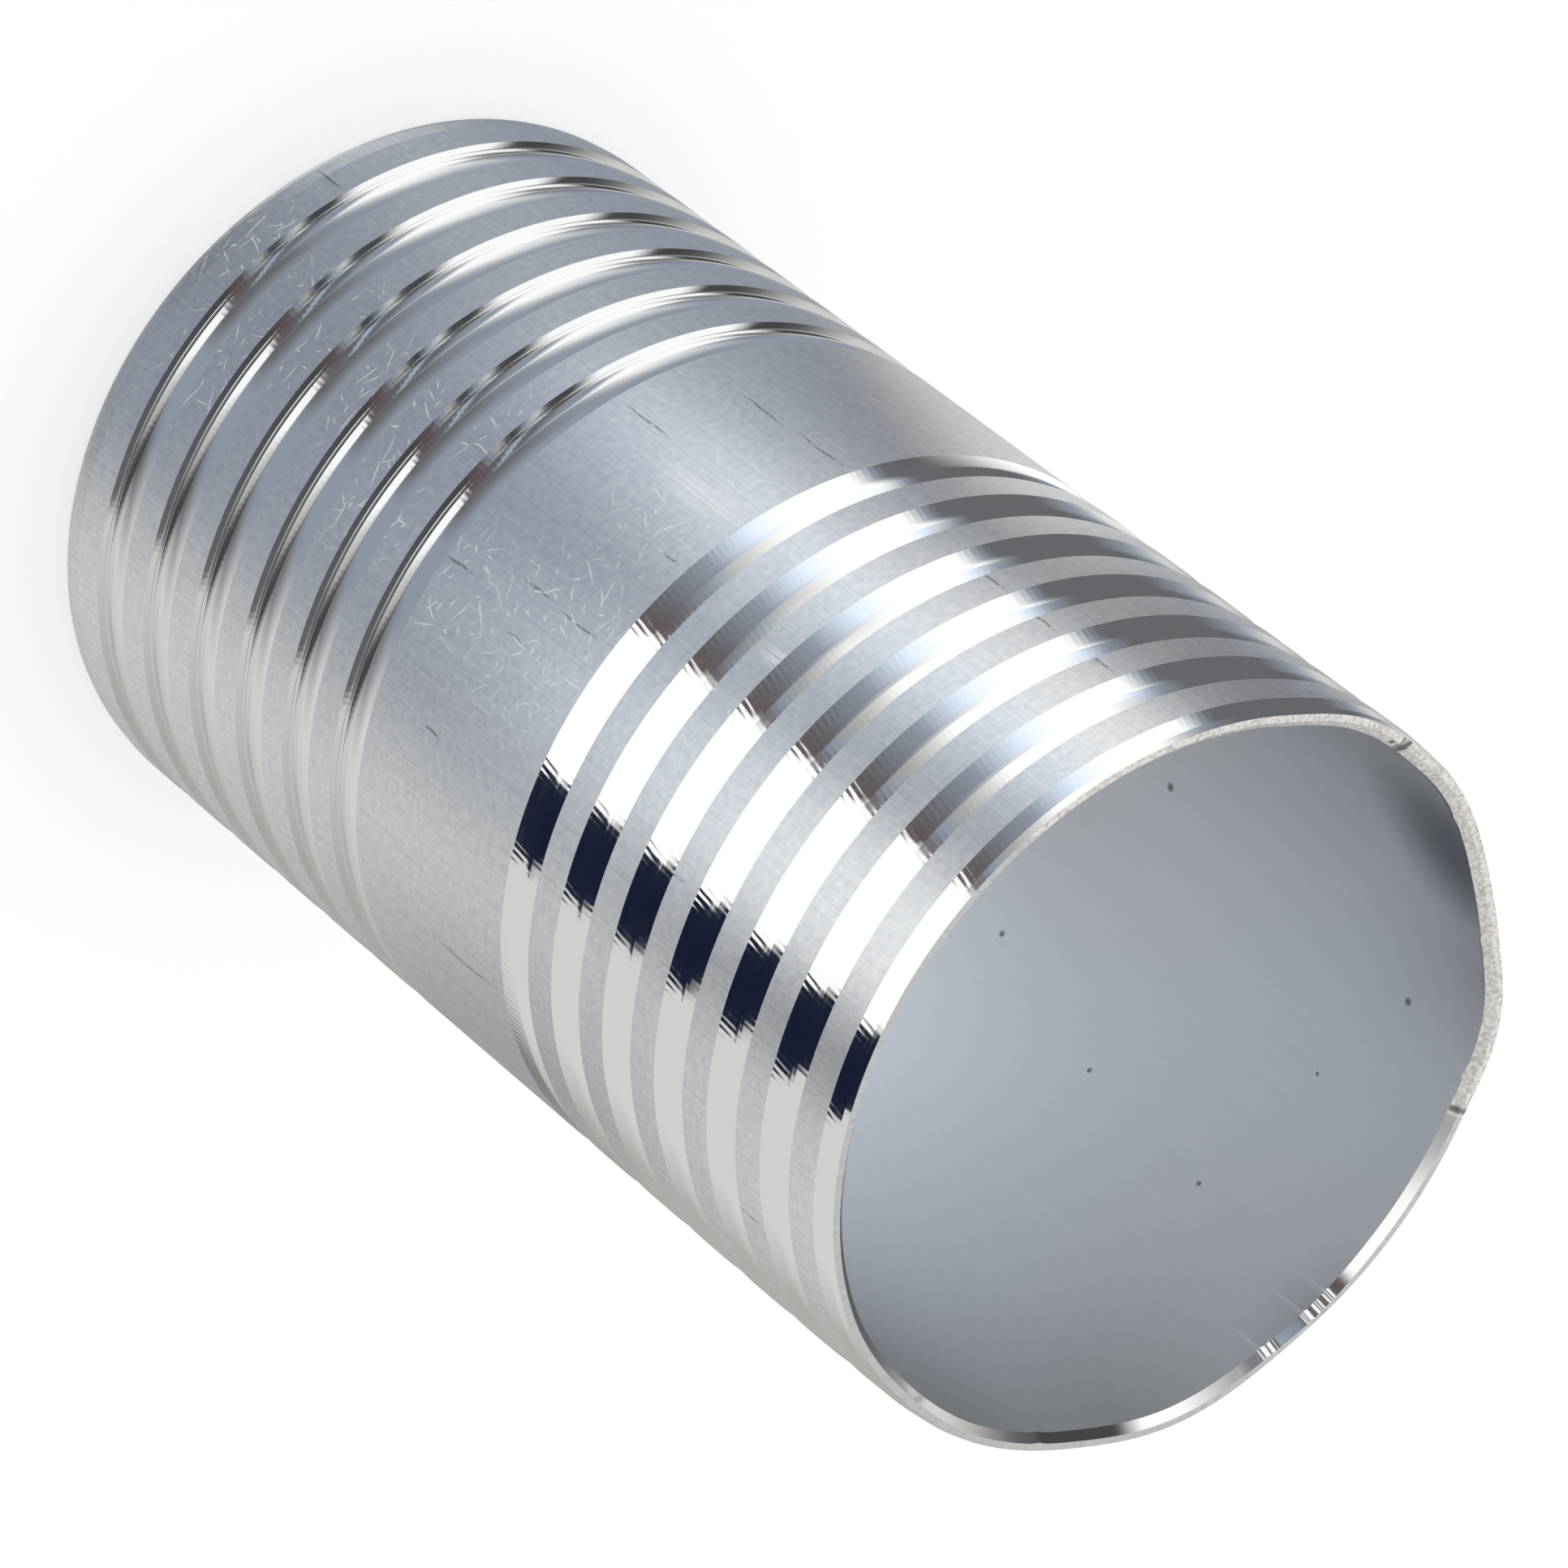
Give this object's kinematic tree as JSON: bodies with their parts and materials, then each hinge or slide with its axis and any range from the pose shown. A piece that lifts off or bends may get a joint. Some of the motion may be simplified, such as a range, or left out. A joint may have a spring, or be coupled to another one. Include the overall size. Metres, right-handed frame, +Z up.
{
  "type": "double-ended barbed hose tail",
  "caption": "Thin turned aluminium tube with ring barbs at both ends and a plain middle, pushed into two hoses to join them.",
  "frame": {"origin": "centre of the lower rim's end face, on the floor the tube stands on", "axes": "+Z up along the tube's axis; X and Y are free, because the tube is round"},
  "size_m": [0.05, 0.05, 0.0855],
  "materials": {
    "aluminium": "satin drawn tube, bright turned grooves"
  },
  "bodies": {
    "root": {"hose_tail": "aluminium"}
  },
  "joints": []
}
